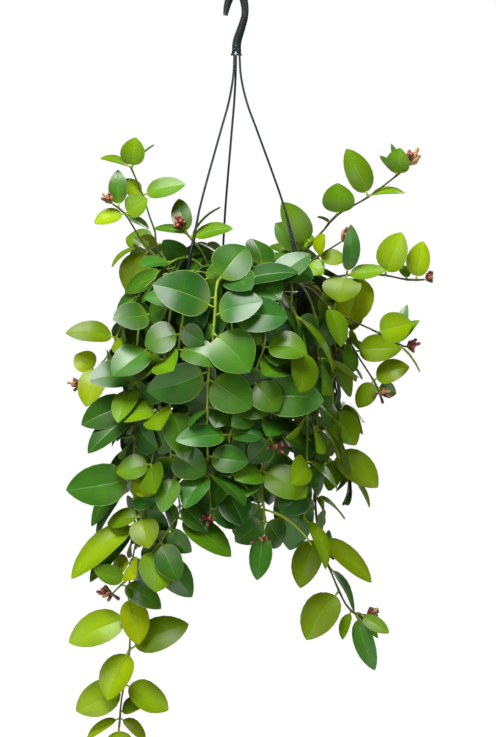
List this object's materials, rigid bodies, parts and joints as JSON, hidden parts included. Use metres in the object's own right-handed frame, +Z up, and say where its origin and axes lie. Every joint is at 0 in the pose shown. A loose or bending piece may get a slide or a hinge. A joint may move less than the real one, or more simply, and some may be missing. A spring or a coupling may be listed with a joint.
{
  "type": "potted lipstick plant",
  "caption": "Trailing lipstick plant with glossy oval leaves and dark red buds, in a dark plastic hanging pot with a moulded hook and thin hanger arms.",
  "frame": {"origin": "the saddle inside the hook, the point that the whole part hangs from", "axes": "+Z up through the hook; the hook opens towards -X; -Y is the plant's front, with the long trails"},
  "size_m": [0.4217, 0.3132, 0.8815],
  "materials": {
    "hook": "satin",
    "arm": "satin",
    "pot": "gloss",
    "soil": "matte",
    "leaf_old": "satin",
    "leaf_mid": "satin",
    "leaf_young": "satin",
    "buds": "satin"
  },
  "bodies": {
    "root": {"hook": "hook", "arm_right": "arm", "arm_rear": "arm", "arm_left": "arm", "pot": "pot", "soil": "soil", "shoot_tall_left": "leaf_mid", "shoot_low_left": "leaf_mid", "shoot_back_left": "leaf_young", "shoot_near_left": "leaf_mid", "crown_left": "leaf_old", "front_left": "leaf_old", "front_middle": "leaf_old", "front_right": "leaf_old", "low_middle": "leaf_mid", "right_front": "leaf_old", "left_front": "leaf_old", "middle_left": "leaf_mid", "long_trail": "leaf_young", "left_edge": "leaf_young", "upper_right": "leaf_mid", "right_bud": "leaf_young", "right_long": "leaf_young", "right_low": "leaf_young", "right_drop": "leaf_young", "right_edge": "leaf_young", "right_trail": "leaf_mid", "shoot_back_right": "leaf_mid", "shoot_rear": "leaf_mid", "trail_01": "leaf_old", "trail_02": "leaf_mid", "trail_03": "leaf_old", "trail_04": "leaf_old", "trail_05": "leaf_mid", "trail_06": "leaf_old", "trail_07": "leaf_mid", "trail_08": "leaf_old", "trail_09": "leaf_old", "trail_10": "leaf_old", "trail_11": "leaf_mid", "trail_12": "leaf_old", "trail_13": "leaf_old", "trail_14": "leaf_old", "trail_15": "leaf_old", "trail_16": "leaf_old", "trail_17": "leaf_old", "shoot_low_left_buds": "buds", "shoot_near_left_buds": "buds", "front_left_buds": "buds", "front_right_buds": "buds", "low_middle_buds": "buds", "left_front_buds": "buds", "middle_left_buds": "buds", "left_edge_buds": "buds", "upper_right_buds": "buds", "right_bud_buds": "buds", "right_long_buds": "buds", "right_low_buds": "buds", "right_drop_buds": "buds", "right_trail_buds": "buds"}
  },
  "joints": []
}
